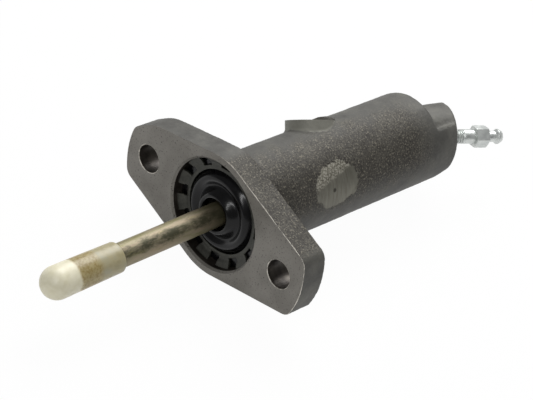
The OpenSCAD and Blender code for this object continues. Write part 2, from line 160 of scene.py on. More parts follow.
def srgb(code):
    """A colour written as an sRGB hex value, turned to linear with full alpha."""
    parts = [int(code[i:i + 2], 16) / 255 for i in (1, 3, 5)]
    linear = [p / 12.92 if p <= 0.04045 else ((p + 0.055) / 1.055) ** 2.4 for p in parts]
    return (*linear, 1.0)


# Frames of the turned and drilled features: local Z is the axis of each
TO_BORE = Matrix.Rotation(math.radians(-90), 4, "X")


def along_bore(y):
    return Matrix.Translation(mm(0, y, 0)) @ TO_BORE


AT_BLEED = (Matrix.Translation(mm(0, BLEED_CROSS_Y, 0))
            @ Matrix.Rotation(math.radians(-BLEED_ANGLE), 4, "Z") @ TO_BORE)
AT_PORT = (Matrix.Translation(mm(0, PORT_Y, 0))
           @ Matrix.Rotation(math.radians(90 - PORT_THETA), 4, "Y")
           @ Matrix.Rotation(math.radians(-PORT_TILT), 4, "X"))
# Local Z runs out along the loose rod, from the centre of its ball
AT_BALL = (Matrix.Translation(mm(0, BALL_Y, 0)) @ Matrix.Rotation(math.radians(ROD_DROOP), 4, "X")
           @ Matrix.Rotation(math.radians(90), 4, "X"))


# Modelling helpers
def deselect():
    if bpy.context.object and bpy.context.object.mode != "OBJECT":
        bpy.ops.object.mode_set(mode="OBJECT")
    bpy.ops.object.select_all(action="DESELECT")


def take(piece, *others):
    """Makes a piece the active one, and selects it with some others."""
    deselect()
    for p in (piece, *others):
        p.select_set(True)
    bpy.context.view_layer.objects.active = piece


def choose(piece, kind, test):
    """Enters edit mode with the edges whose ends pass the test, or the polygons whose place and normal do."""
    take(piece)
    bpy.context.tool_settings.mesh_select_mode = (False, kind == "edges", kind == "polygons")
    mesh = piece.data
    for group in (mesh.vertices, mesh.edges, mesh.polygons):
        group.foreach_set("select", [False] * len(group))
    for item in getattr(mesh, kind):
        if kind == "edges":
            ends = [mesh.vertices[v].co for v in item.vertices]
            item.select = test(*ends)
        else:
            item.select = test(item.center, item.normal)
    bpy.ops.object.mode_set(mode="EDIT")


def finish_edit(piece):
    """Merges doubles, turns the faces outwards and leaves edit mode."""
    take(piece)
    bpy.ops.object.mode_set(mode="EDIT")
    bpy.ops.mesh.select_all(action="SELECT")
    bpy.ops.mesh.remove_doubles(threshold=mm(0.002))
    bpy.ops.mesh.normals_make_consistent(inside=False)
    bpy.ops.object.mode_set(mode="OBJECT")


def place(piece, matrix):
    """Moves a piece's mesh to its place, with its object left at the origin."""
    piece.matrix_world = matrix
    take(piece)
    bpy.ops.object.transform_apply(location=True, rotation=True, scale=True)
    return piece


def modify(piece, kind, **settings):
    """Adds a modifier and applies it."""
    take(piece)
    made = piece.modifiers.new(kind.lower(), kind)
    for name, value in settings.items():
        setattr(made, name, value)
    bpy.ops.object.modifier_apply(modifier=made.name)


def smooth(piece, angle=30):
    take(piece)
    bpy.ops.object.shade_smooth_by_angle(angle=math.radians(angle))


def rename(piece, name):
    piece.name = name
    piece.data.name = name
    return piece


def turned(name, profile, steps=PLAIN_STEPS):
    """Turns a profile of (radius, height) points in millimetres about local Z, as a lathe does."""
    deselect()
    bpy.ops.mesh.primitive_plane_add(size=MM)
    piece = rename(bpy.context.object, name)
    bpy.ops.object.mode_set(mode="EDIT")
    bpy.context.tool_settings.mesh_select_mode = (True, False, False)
    bpy.ops.mesh.select_all(action="SELECT")
    bpy.ops.mesh.merge(type="CENTER")
    points = [mm(r, 0, z) for r, z in profile]
    bpy.ops.transform.translate(value=points[0])
    for here, there in zip(points, points[1:]):
        bpy.ops.mesh.extrude_region_move(TRANSFORM_OT_translate={"value": there - here})
    bpy.ops.mesh.select_all(action="SELECT")
    bpy.ops.mesh.spin(steps=steps, angle=TAU, center=(0, 0, 0), axis=(0, 0, 1))
    bpy.ops.object.mode_set(mode="OBJECT")
    finish_edit(piece)
    return piece


def arc(centre, radius, start, end, steps):
    """Points of an arc in a profile, with its angles in degrees."""
    angles = [math.radians(start + (end - start) * i / steps) for i in range(steps + 1)]
    return [(centre[0] + radius * math.cos(a), centre[1] + radius * math.sin(a)) for a in angles]


def shape_vertices(piece, rule):
    """Moves each vertex of a mesh to where a rule puts it."""
    places = [x for v in piece.data.vertices for x in rule(v.co)]
    piece.data.vertices.foreach_set("co", places)
    piece.data.update()


def cut(piece, cutter, operation="DIFFERENCE"):
    """Takes a cutter's shape out of a piece, or keeps only what they share."""
    modify(piece, "BOOLEAN", operation=operation, object=cutter, solver="MANIFOLD")
    bpy.data.objects.remove(cutter)


def block(name, low, high):
    """A plain cutter box between two corners, in millimetres."""
    deselect()
    bpy.ops.mesh.primitive_cube_add(size=1)
    piece = rename(bpy.context.object, name)
    size = [h - l for l, h in zip(low, high)]
    middle = [(h + l) / 2 for l, h in zip(low, high)]
    place(piece, Matrix.Translation(mm(*middle)) @ Matrix.Diagonal((*[s * MM for s in size], 1)))
    return piece


# Camera
def photo_camera():
    az, el, roll = (math.radians(a) for a in (CAMERA_AZIMUTH, CAMERA_ELEVATION, CAMERA_ROLL))
    back = Vector((math.sin(az) * math.cos(el), -math.cos(az) * math.cos(el), math.sin(el)))
    level = Vector((math.cos(az), math.sin(az), 0))
    over = back.cross(level)
    right = level * math.cos(roll) + over * math.sin(roll)
    up = over * math.cos(roll) - level * math.sin(roll)
    where = (back * CAMERA_DISTANCE + right * CAMERA_RIGHT + up * CAMERA_UP) * MM
    data = bpy.data.cameras.new("camera")
    data.sensor_width = CAMERA_SENSOR
    data.lens = CAMERA_LENS
    data.clip_start = mm(10)
    camera = bpy.data.objects.new("camera", data)
    bpy.context.scene.collection.objects.link(camera)
    turn = Matrix((right, up, back)).transposed().to_4x4()
    camera.matrix_world = Matrix.Translation(where) @ turn
    bpy.context.scene.camera = camera


photo_camera()


# Material helper
def add(tree, kind, settings=None, links=None):
    """Adds a shader node: settings are its own values or its sockets' constants, links feed its sockets."""
    made = tree.nodes.new("ShaderNode" + kind)
    values = dict(settings or {})
    for at, code in values.pop("stops", []):
        stop = made.color_ramp.elements.new(at)
        stop.color = srgb(code)
    if kind == "ValToRGB":
        made.color_ramp.elements.remove(made.color_ramp.elements[0])
        made.color_ramp.elements.remove(made.color_ramp.elements[-1])
    own = [k for k in values if isinstance(k, str) and k in made.bl_rna.properties]
    for key in own:
        setattr(made, key, values[key])
    for key, value in values.items():
        if key not in own:
            made.inputs[key].default_value = value
    for key, source in (links or {}).items():
        socket = source.outputs[0] if isinstance(source, bpy.types.Node) else source
        tree.links.new(socket, made.inputs[key])
    return made


# Materials. Patterns read Object coordinates, and their scales come from real sizes in millimetres.
def per(size):
    """Scale of a pattern whose features are this many millimetres across."""
    return 1 / (size * MM)


def new_tree(name):
    material = bpy.data.materials.new(name)
    material.use_nodes = True
    material.node_tree.nodes.clear()
    return material, material.node_tree


def finished(material, surface):
    add(material.node_tree, "OutputMaterial", links={"Surface": surface})
    return material


def fine_relief(tree, where, size, detail, strength, depth):
    """The unevenness of a finish, with its size and depth in millimetres."""
    bumps = add(tree, "TexNoise", {"Scale": per(size), "Detail": detail}, {"Vector": where})
    return add(tree, "Bump", {"Strength": strength, "Distance": mm(depth)}, {"Height": bumps})


# Where the mould's sand was coarse: on one side, but not at the barrel's rear, the flange's end and the
# port's boss, whose wall carries painted light instead
def coarse_sand(tree, where, cloud):
    turn = math.radians(COARSE_SIDE)
    towards = Vector((math.cos(turn), 0, math.sin(turn))) / (BARREL_R * MM)
    side = add(tree, "VectorMath", {"operation": "DOT_PRODUCT", 1: towards}, {0: where}).outputs["Value"]
    blurred = add(tree, "Math", {"operation": "MULTIPLY_ADD", 1: 0.7}, {0: cloud, 2: side})
    gritty = add(tree, "MapRange", {"From Min": 0.9, "From Max": 1.2}, {0: blurred})

    apart = add(tree, "SeparateXYZ", links={0: where})
    near_rear = add(tree, "MapRange", {"From Min": mm(104), "From Max": mm(92)}, {0: apart.outputs["Y"]})
    on_end = add(tree, "MapRange", {"From Min": mm(44.5), "From Max": mm(41.5)}, {0: apart.outputs["X"]})
    past_middle = add(tree, "MapRange", {"From Min": mm(-3), "From Max": mm(1)}, {0: apart.outputs["X"]})
    off_flange = add(tree, "MapRange", {"From Min": mm(11.5), "From Max": mm(13.5)}, {0: apart.outputs["Y"]})
    heavy_half = add(tree, "Math", {"operation": "MAXIMUM"}, {0: past_middle, 1: off_flange})
    both_ends = add(tree, "Math", {"operation": "MULTIPLY"}, {0: near_rear, 1: on_end})
    ends = add(tree, "Math", {"operation": "MULTIPLY"}, {0: both_ends, 1: heavy_half})

    # Mask of the port boss's wall: kept free of coarse sand and painted paler, as painted light
    from_port = add(tree, "VectorMath", {"operation": "SUBTRACT", 1: AT_PORT.translation}, {0: where})
    port_axis = AT_PORT.to_3x3() @ Vector((0, 0, 1))
    off_axis = add(tree, "VectorMath", {"operation": "CROSS_PRODUCT", 1: port_axis}, {0: from_port})
    port_away = add(tree, "VectorMath", {"operation": "LENGTH"}, {0: off_axis}).outputs["Value"]
    port_round = add(tree, "MapRange", {"From Min": mm(9.8), "From Max": mm(9.4)}, {0: port_away})
    port_out = add(tree, "VectorMath", {"operation": "DOT_PRODUCT", 1: port_axis},
                   {0: from_port}).outputs["Value"]
    port_height = add(tree, "MapRange", {"From Min": mm(10), "From Max": mm(11)}, {0: port_out})
    port_light_mask = add(tree, "Math", {"operation": "MULTIPLY"}, {0: port_round, 1: port_height})
    off_port = add(tree, "Math", {"operation": "SUBTRACT", 0: 1.0}, {1: port_light_mask})
    limit = add(tree, "Math", {"operation": "MULTIPLY"}, {0: ends, 1: off_port})
    return add(tree, "Math", {"operation": "MULTIPLY"}, {0: gritty, 1: limit}), port_light_mask


# Spot of the barrel that a wheel has ground bare. It left fine marks round the barrel and a ragged edge, and
# opened a blowhole. The grains stand out bright where it only touched them.
def ground_spot(tree, where, grit):
    offset = add(tree, "VectorMath", {"operation": "SUBTRACT", 1: GROUND_CENTRE * MM}, {0: where})
    scaled = add(tree, "VectorMath", {"operation": "DIVIDE", 1: GROUND_R * MM}, {0: offset})
    away = add(tree, "VectorMath", {"operation": "LENGTH"}, {0: scaled}).outputs["Value"]
    ragged = add(tree, "TexNoise", {"Scale": per(3.4), "Detail": 5, "Roughness": 0.75}, {"Vector": where})
    edge = add(tree, "Math", {"operation": "MULTIPLY_ADD", 1: 0.6}, {0: ragged, 2: away})
    ground = add(tree, "MapRange", {"From Min": 1.3, "From Max": 1.25}, {0: edge})

    round_barrel = add(tree, "Mapping", {"Scale": (0.1, 1, 0.1)}, {"Vector": where})
    marks = add(tree, "TexNoise", {"Scale": per(0.9), "Detail": 3, "Roughness": 0.6},
                {"Vector": round_barrel})
    bare = add(tree, "ValToRGB", {"stops": [(0.3, "#605e54"), (0.5, "#6d6b61"), (0.7, "#7a786d")]},
               {0: marks})
    rim_side = add(tree, "VectorMath", {"operation": "DOT_PRODUCT", 1: (-0.38, -0.28, 0.8)},
                   {0: scaled}).outputs["Value"]
    rim_edge = add(tree, "Math", {"operation": "MULTIPLY_ADD", 1: 0.5}, {0: ragged, 2: rim_side})
    rim = add(tree, "MapRange", {"From Min": 0.5, "From Max": 0.68}, {0: rim_edge})
    grains = add(tree, "ValToRGB", {"stops": [(0.36, "#5d594f"), (0.48, "#858276"), (0.64, "#b5b2a6")]},
                 {0: grit})
    spot = add(tree, "Mix", {"data_type": "RGBA"}, {0: rim, 6: bare, 7: grains})
    pit_away = add(tree, "VectorMath", {"operation": "DISTANCE", 1: GROUND_PIT * MM},
                   {0: where}).outputs["Value"]
    pit = add(tree, "MapRange", {"From Min": mm(1.1), "From Max": mm(0.6)}, {0: pit_away})
    holed = add(tree, "Mix", {"data_type": "RGBA", 7: srgb("#38352e")}, {0: pit, 6: spot.outputs[2]})
    return ground, holed.outputs[2]


# Sand cast grey iron under a thin dark phosphate. The coarse sand of one side left a gritty relief with dark
# hollows and pale rubbed grains, and the rest came out smoother. The wall of the port's boss is painted
# paler, as painted light where it stands in shade.
def cast_iron_skin():
    material, tree = new_tree("sand_cast_iron")
    where = add(tree, "TexCoord").outputs["Object"]
    cloud = add(tree, "TexNoise", {"Scale": per(9), "Detail": 5, "Roughness": 0.62}, {"Vector": where})
    grit = add(tree, "TexNoise", {"Scale": per(0.62), "Detail": 2, "Roughness": 0.6}, {"Vector": where})
    coarse, port_light_mask = coarse_sand(tree, where, cloud)
    plain = add(tree, "ValToRGB", {"stops": [(0.3, "#444340"), (0.5, "#52514d"), (0.7, "#5f5e58")]},
                {0: cloud})
    brown = add(tree, "ValToRGB", {"stops": [(0.3, "#322f29"), (0.5, "#3e3b35"), (0.7, "#4a4740")]},
                {0: cloud})
    # Painted light: the port boss's wall is painted paler than the plain skin
    port_painted_light = add(tree, "Mix", {"data_type": "RGBA", 7: srgb("#8a8980")}, {0: port_light_mask, 6: plain})
    tone = add(tree, "Mix", {"data_type": "RGBA"}, {0: coarse, 6: port_painted_light.outputs[2], 7: brown})
    amount = add(tree, "Math", {"operation": "MULTIPLY_ADD", 1: 0.8, 2: 0.08}, {0: coarse})
    high = add(tree, "ValToRGB", {"stops": [(0.56, "#000000"), (0.69, "#ffffff")]}, {0: grit})
    low = add(tree, "ValToRGB", {"stops": [(0.34, "#ffffff"), (0.46, "#000000")]}, {0: grit})
    pale = add(tree, "Math", {"operation": "MULTIPLY"}, {0: high, 1: amount})
    dark = add(tree, "Math", {"operation": "MULTIPLY"}, {0: low, 1: amount})
    speckled = add(tree, "Mix", {"data_type": "RGBA", 7: srgb("#7f7a6c")}, {0: pale, 6: tone.outputs[2]})
    pitted = add(tree, "Mix", {"data_type": "RGBA", 7: srgb("#1c1814")}, {0: dark, 6: speckled.outputs[2]})

    ground, bared = ground_spot(tree, where, grit)
    colour = add(tree, "Mix", {"data_type": "RGBA"}, {0: ground, 6: pitted.outputs[2], 7: bared})
    left = add(tree, "MapRange", {"To Min": 1.0, "To Max": 0.12}, {0: ground})
    grown = add(tree, "Math", {"operation": "MULTIPLY"}, {0: amount, 1: left})
    height = add(tree, "Math", {"operation": "MULTIPLY"}, {0: grit, 1: grown})
    relief = add(tree, "Bump", {"Strength": 0.7, "Distance": mm(0.3)}, {"Height": height})
    shine = add(tree, "MapRange", {"To Min": 0.3, "To Max": 0.6}, {0: ground})
    gloss = add(tree, "MapRange", {"To Min": 0.62, "To Max": 0.48}, {0: ground})
    skin = add(tree, "BsdfPrincipled", links={"Base Color": colour.outputs[2], "Normal": relief,
                                              "Metallic": shine, "Roughness": gloss})
    return finished(material, skin)


# Grey iron faced in one cut: a dull, even sheen with faint tool arcs and dark graphite flecks.
def faced_iron():
    material, tree = new_tree("faced_grey_iron")
    where = add(tree, "TexCoord").outputs["Object"]
    cloud = add(tree, "TexNoise", {"Scale": per(16), "Detail": 4, "Roughness": 0.55}, {"Vector": where})
    tone = add(tree, "ValToRGB", {"stops": [(0.35, "#6a6761"), (0.65, "#7d7a74")]}, {0: cloud})
    flecks = add(tree, "TexNoise", {"Scale": per(0.7), "Detail": 2}, {"Vector": where})
    dark = add(tree, "ValToRGB", {"stops": [(0.3, "#ffffff"), (0.4, "#000000")]}, {0: flecks})
    colour = add(tree, "Mix", {"data_type": "RGBA", 7: srgb("#3d3a36")}, {0: dark, 6: tone})
    arcs = add(tree, "TexWave", {"wave_type": "RINGS", "rings_direction": "Y", "Scale": per(6),
                                 "Distortion": 0.6, "Detail": 2}, {"Vector": where})
    relief = add(tree, "Bump", {"Strength": 0.12, "Distance": mm(0.05)}, {"Height": arcs})
    face = add(tree, "BsdfPrincipled", {"Metallic": 0.55, "Roughness": 0.5},
               {"Base Color": colour.outputs[2], "Normal": relief})
    return finished(material, face)


# Edges of the faced side: rubbed, with a painted highlight of near white along the outline's +X half and
# round both bolt holes, and dull along the rest of the outline.
def rubbed_edge_painted_highlight():
    material, tree = new_tree("rubbed_iron_edge_painted_highlight")
    where = add(tree, "TexCoord").outputs["Object"]
    across = add(tree, "SeparateXYZ", links={0: where}).outputs["X"]
    half = add(tree, "MapRange", {"From Min": mm(-6), "From Max": mm(3)}, {0: across})
    from_hole = add(tree, "VectorMath", {"operation": "DISTANCE", 1: mm(-BOLT_X, 0, 0)},
                    {0: where}).outputs["Value"]
    at_hole = add(tree, "MapRange", {"From Min": mm(6.8), "From Max": mm(6.2)}, {0: from_hole})
    # Painted highlight: the +X half of the outline and the bolt holes' rims get the bright stops
    wear_and_highlight = add(tree, "Math", {"operation": "MAXIMUM"}, {0: half, 1: at_hole})
    cloud = add(tree, "TexNoise", {"Scale": per(2.5), "Detail": 4, "Roughness": 0.6}, {"Vector": where})
    bright = add(tree, "ValToRGB", {"stops": [(0.4, "#8f8c84"), (0.56, "#dcd7cc")]}, {0: cloud})
    dull = add(tree, "ValToRGB", {"stops": [(0.35, "#605e59"), (0.65, "#76746e")]}, {0: cloud})
    colour = add(tree, "Mix", {"data_type": "RGBA"}, {0: wear_and_highlight, 6: dull, 7: bright})
    relief = fine_relief(tree, where, size=0.6, detail=3, strength=0.2, depth=0.03)
    edge = add(tree, "BsdfPrincipled", {"Metallic": 0.15, "Roughness": 0.5},
               {"Base Color": colour.outputs[2], "Normal": relief})
    return finished(material, edge)


# Drilled and bored iron: dark, oily walls with tool rings round the hole.
def drilled_iron():
    material, tree = new_tree("drilled_grey_iron")
    where = add(tree, "TexCoord").outputs["Object"]
    cloud = add(tree, "TexNoise", {"Scale": per(4), "Detail": 4}, {"Vector": where})
    tone = add(tree, "ValToRGB", {"stops": [(0.35, "#2f2a26"), (0.65, "#4a453f")]}, {0: cloud})
    rings = add(tree, "TexWave", {"bands_direction": "Y", "Scale": per(8), "Distortion": 0.4},
                {"Vector": where})
    relief = add(tree, "Bump", {"Strength": 0.25, "Distance": mm(0.06)}, {"Height": rings})
    wall = add(tree, "BsdfPrincipled", {"Metallic": 0.6, "Roughness": 0.42},
               {"Base Color": tone, "Normal": relief})
    return finished(material, wall)


# Nitrile rubber from a polished mould: deep black with a soft gloss and a faint bloom of dust.
def moulded_rubber(name, bloom):
    material, tree = new_tree(name)
    where = add(tree, "TexCoord").outputs["Object"]
    cloud = add(tree, "TexNoise", {"Scale": per(3), "Detail": 5, "Roughness": 0.7}, {"Vector": where})
    tone = add(tree, "ValToRGB", {"stops": [(0.4, "#060607"), (0.75, bloom)]}, {0: cloud})
    gloss = add(tree, "MapRange", {"From Min": 0.3, "From Max": 0.7, "To Min": 0.16, "To Max": 0.26},
                {0: cloud})
    relief = fine_relief(tree, where, size=0.5, detail=2, strength=0.12, depth=0.04)
    skin = add(tree, "BsdfPrincipled", {"IOR": 1.52, "Specular IOR Level": 0.22},
               {"Base Color": tone, "Roughness": gloss, "Normal": relief})
    return finished(material, skin)


# Steel in one finish or another: a cloudy tint, fine marks and a roughness that wanders.
def steel(name, stops, roughness, metallic=0.9):
    material, tree = new_tree(name)
    where = add(tree, "TexCoord").outputs["Object"]
    cloud = add(tree, "TexNoise", {"Scale": per(2.5), "Detail": 4, "Roughness": 0.6}, {"Vector": where})
    tone = add(tree, "ValToRGB", {"stops": stops}, {0: cloud})
    gloss = add(tree, "MapRange", {"From Min": 0.3, "From Max": 0.7, "To Min": roughness - 0.06,
                                   "To Max": roughness + 0.08}, {0: cloud})
    relief = fine_relief(tree, where, size=0.6, detail=3, strength=0.2, depth=0.03)
    skin = add(tree, "BsdfPrincipled", {"Metallic": metallic},
               {"Base Color": tone, "Roughness": gloss, "Normal": relief})
    return finished(material, skin)


def rod_place(tree):
    """Coordinates that follow the loose rod: Y runs back along its axis from the centre of the ball."""
    lean = Matrix.Rotation(math.radians(-ROD_DROOP), 4, "X")
    where = add(tree, "TexCoord").outputs["Object"]
    return add(tree, "Mapping", {"Location": -(lean @ mm(0, BALL_Y, 0)), "Rotation": lean.to_euler()},
               {"Vector": where})


# Drawn steel bar, zinc plated and yellow passivated: olive, pink and grey interference tints run along it,
# with a line of dark stain on one side where the bath ran off and dried. Its inner end towards the boot's
# mouth is darkened with painted shade.
def passivated_bar():
    material, tree = new_tree("yellow_passivated_zinc")
    where = rod_place(tree)
    along = add(tree, "Mapping", {"Scale": (1, 0.16, 1)}, {"Vector": where})
    film = add(tree, "TexNoise", {"Scale": per(3.2), "Detail": 4, "Roughness": 0.6}, {"Vector": along})
    tint = add(tree, "ValToRGB", {"stops": [(0.3, "#5d5b3f"), (0.42, "#827c58"), (0.5, "#908870"),
                                            (0.6, "#998b76"), (0.72, "#8c855e")]}, {0: film})
    turn = math.radians(STAIN_SIDE)
    towards = Vector((math.cos(turn), 0, math.sin(turn))) / (ROD_R * MM)
    side = add(tree, "VectorMath", {"operation": "DOT_PRODUCT", 1: towards}, {0: where}).outputs["Value"]
    line = add(tree, "MapRange", {"From Min": 0.72, "From Max": 0.98, "To Max": 0.27}, {0: side})
    spread = add(tree, "Mapping", {"Scale": (1, 0.4, 1)}, {"Vector": where})
    streak = add(tree, "TexNoise", {"Scale": per(2.6), "Detail": 6, "Roughness": 0.75}, {"Vector": spread})
    stain = add(tree, "Math", {"operation": "SUBTRACT"}, {0: streak, 1: line})
    dark = add(tree, "ValToRGB", {"stops": [(0.16, "#ffffff"), (0.4, "#000000")]}, {0: stain})
    stained = add(tree, "Mix", {"data_type": "RGBA", 7: srgb("#4a4836")}, {0: dark, 6: tint})
    out = add(tree, "SeparateXYZ", links={0: where}).outputs["Y"]
    # Painted shade: darker over the last 12 mm towards the boot's mouth
    painted_boot_shade = add(tree, "MapRange", {"From Min": mm(-34), "From Max": mm(-22), "To Max": 0.75}, {0: out})
    colour = add(tree, "Mix", {"data_type": "RGBA", 7: srgb("#3f3c2a")}, {0: painted_boot_shade, 6: stained.outputs[2]})
    relief = fine_relief(tree, spread, size=0.5, detail=4, strength=0.35, depth=0.05)
    skin = add(tree, "BsdfPrincipled", {"Metallic": 0.5, "Roughness": 0.55},
               {"Base Color": colour.outputs[2], "Normal": relief})
    return finished(material, skin)


# Natural polyamide, injection moulded: milky and opaque in the solid dome, amber and half clear in the thin
# sleeve, which lets the rod's knurled end show through.
def moulded_nylon():
    material, tree = new_tree("moulded_natural_nylon")
    where = rod_place(tree)
    cloud = add(tree, "TexNoise", {"Scale": per(3), "Detail": 3}, {"Vector": where})
    milky = add(tree, "ValToRGB", {"stops": [(0.35, "#d4ceb2"), (0.65, "#dfdac2")]}, {0: cloud})
    amber = add(tree, "ValToRGB", {"stops": [(0.35, "#bdb38b"), (0.5, "#c8be98"), (0.65, "#c2bc9d")]},
                {0: cloud})
    out = add(tree, "SeparateXYZ", links={0: where}).outputs["Y"]
    blurred = add(tree, "Math", {"operation": "MULTIPLY_ADD", 1: mm(1.6)}, {0: cloud, 2: out})
    sleeve = add(tree, "MapRange", {"From Min": mm(-86.7), "From Max": mm(-85.5)}, {0: blurred})
    over_knurl = add(tree, "MapRange", {"From Min": mm(-75.5), "From Max": mm(-78)}, {0: blurred})
    grains = add(tree, "TexNoise", {"Scale": per(0.9), "Detail": 3}, {"Vector": where})
    golden = add(tree, "ValToRGB", {"stops": [(0.36, "#a99258"), (0.62, "#c6b784")]}, {0: grains})
    thin = add(tree, "Mix", {"data_type": "RGBA"}, {0: over_knurl, 6: amber, 7: golden})
    tone = add(tree, "Mix", {"data_type": "RGBA"}, {0: sleeve, 6: milky, 7: thin.outputs[2]})
    clear = add(tree, "MapRange", {"To Max": 0.42}, {0: sleeve})
    relief = fine_relief(tree, where, size=1.2, detail=2, strength=0.1, depth=0.05)
    skin = add(tree, "BsdfPrincipled", {"Roughness": 0.4, "IOR": 1.53},
               {"Base Color": tone.outputs[2], "Normal": relief, "Transmission Weight": clear})
    return finished(material, skin)


CAST = cast_iron_skin()
FACED = faced_iron()
DRILLED = drilled_iron()
BOOT_RUBBER = moulded_rubber("moulded_boot_rubber", "#121214")
CUP_RUBBER = moulded_rubber("moulded_cup_rubber", "#242426")
RING_STEEL = steel("phosphated_sheet_steel", [(0.35, "#25251f"), (0.65, "#3d3d37")], 0.42, 0.5)
SPRING_STEEL = steel("oiled_spring_steel", [(0.35, "#4b4944"), (0.65, "#6b6862")], 0.35)
PRESSED_STEEL = steel("pressed_sheet_steel", [(0.35, "#85827a"), (0.65, "#a5a298")], 0.35)
TURNED_ALLOY = steel("turned_aluminium_alloy", [(0.35, "#9d9b95"), (0.65, "#b9b7b0")], 0.3)
BRIGHT_ZINC = steel("bright_zinc_plate", [(0.35, "#c0c4c2"), (0.65, "#d8dbd8")], 0.38, 0.7)
RUBBED_IRON_PAINTED_HIGHLIGHT = rubbed_edge_painted_highlight()
ROD_FINISH = passivated_bar()
NYLON = moulded_nylon()


# Threads: the vertices of a turned blank follow the helix, with a run-out at both ends
def screw_thread(root, crest, pitch, start, end):
    """A rule that gives a turned blank a helical thread between two heights, all in millimetres."""
    def rule(co):
        p = co / MM
        reach = math.hypot(p.x, p.y)
        if reach < 0.8 * root or not start < p.z < end:
            return co
        turn = (p.z / pitch - math.atan2(p.y, p.x) / TAU) % 1
        tooth = min(max(1.25 - abs(4 * turn - 2), 0), 1)
        fade = min((p.z - start) / pitch, (end - p.z) / pitch, 1)
        radius = crest - (crest - root) * (1 - tooth) * fade
        return Vector((co.x * radius / reach, co.y * radius / reach, co.z))
    return rule


def column(radius, start, end, step):
    """Evenly spaced profile points up the side of a cylinder."""
    count = math.ceil((end - start) / step)
    return [(radius, start + (end - start) * i / count) for i in range(count + 1)]


# Casting
def flange_radius(angle):
    """Distance from the bore axis to the flange's outline, at an angle from the line of the bolt holes."""
    slant = math.radians(FLANGE_SLANT)
    side = Vector((math.sin(slant), math.cos(slant)))
    along = Vector((math.cos(slant), -math.sin(slant)))
    crown = Vector((FLANGE_REACH - CROWN_R, 0))
    inner = FLANGE_MID_R - CORNER_R
    run = crown.dot(along) + math.sqrt((CROWN_R - CORNER_R) ** 2 - (inner - crown.dot(side)) ** 2)
    corner = inner * side + run * along
    ray = Vector((abs(math.cos(angle)), abs(math.sin(angle))))
    turn = math.atan2(ray.y, ray.x)
    side_end = corner + CORNER_R * side
    crown_end = corner + CORNER_R * (corner - crown).normalized()
    if turn > math.pi / 2 - slant:
        return FLANGE_MID_R
    if turn > math.atan2(side_end.y, side_end.x):
        return FLANGE_MID_R / ray.dot(side)
    centre, radius = (corner, CORNER_R) if turn > math.atan2(crown_end.y, crown_end.x) else (crown, CROWN_R)
    middle = ray.dot(centre)
    return middle + math.sqrt(middle ** 2 - centre.length_squared + radius ** 2)


def cast_radius(angle):
    """The flange's outline as cast: one upper corner is cut shorter, with a soft start at both sides."""
    soft = 0.7
    least_facing = 0.3
    reach = flange_radius(angle)
    facing = math.cos(angle - math.radians(SHORT_CORNER_TURN))
    if facing < least_facing:
        return reach
    return reach - soft * math.log(1 + math.exp((reach - SHORT_CORNER_REACH / facing) / soft))


def flange_prism(name, start, end, insets=(0, 0)):
    """The flange's outline as a prism between two places on the bore axis, each end set in by so much."""
    deselect()
    bpy.ops.mesh.primitive_circle_add(vertices=OUTLINE_STEPS, radius=1, fill_type="NGON")
    prism = rename(bpy.context.object, name)
    bpy.ops.object.mode_set(mode="EDIT")
    bpy.ops.mesh.select_all(action="SELECT")
    bpy.ops.mesh.extrude_region_move(TRANSFORM_OT_translate={"value": (0, 0, 1)})
    finish_edit(prism)

    def outline(co):
        angle = math.atan2(co.y, co.x)
        reach = cast_radius(angle) - insets[0] - (insets[1] - insets[0]) * co.z
        return mm(reach * math.cos(angle), reach * math.sin(angle), start + (end - start) * co.z)
    shape_vertices(prism, outline)
    return place(prism, TO_BORE)


def flange_blank():
    """The flange before facing, with the moulded round of its rear edge."""
    rear_round = 0.7
    blank = flange_prism("flange_blank", -FACING_STOCK, FLANGE_T)
    choose(blank, "edges", lambda a, b: min(a.y, b.y) > mm(FLANGE_T - 0.01))
    bpy.ops.mesh.bevel(offset=mm(rear_round), segments=3, affect="EDGES")
    finish_edit(blank)
    return blank


def barrel_blank():
    fillet = 3.0
    rim = 2.1
    end = BARREL_LEN + BARREL_END_MORE
    profile = [(0, 0), (BARREL_R + fillet, 0)]
    profile += arc((BARREL_R + fillet, FLANGE_T + fillet), fillet, 270, 180, 8)
    profile += arc((BARREL_R - rim, end - rim), rim, 0, 90, 8) + [(0, end)]
    return place(turned("barrel_blank", profile, LARGE_STEPS), along_bore(0))


def cheek_blank():
    """The near side of the barrel, run on to the edge of the bleed boss."""
    reach = 2 * BLEED_EDGE
    taper = 0.55
    side_turn = -45
    rod = [(0, 0), (BARREL_R, 0), (BARREL_R, 2 * reach), (0, 2 * reach)]
    cheek = place(turned("cheek_blank", rod, LARGE_STEPS), along_bore(BARREL_LEN - reach))
    wide = BLEED_BOSS_R + taper * reach
    cone = [(0, BLEED_EDGE - reach), (wide, BLEED_EDGE - reach), (BLEED_BOSS_R, BLEED_EDGE),
            (0, BLEED_EDGE)]
    cut(cheek, place(turned("cheek_cone", cone, LARGE_STEPS), AT_BLEED), "INTERSECT")
    below = block("cheek_half", (-2 * BARREL_R, BARREL_LEN - reach, -4 * BARREL_R),
                  (2 * BARREL_R, BARREL_LEN + reach, 0))
    cut(cheek, place(below, Matrix.Rotation(math.radians(side_turn), 4, "Y")), "INTERSECT")
    return cheek


def bleed_boss_blank():
    profile = [(0, -BLEED_EDGE), (BLEED_ROOT_R, -BLEED_EDGE), (BLEED_ROOT_R, 0), (BLEED_BOSS_R, BLEED_EDGE),
               (BLEED_LAND_R, BLEED_LAND), (BLEED_LAND_R, BLEED_LAND + 1), (0, BLEED_LAND + 1)]
    return place(turned("bleed_boss_blank", profile, 120), AT_BLEED)


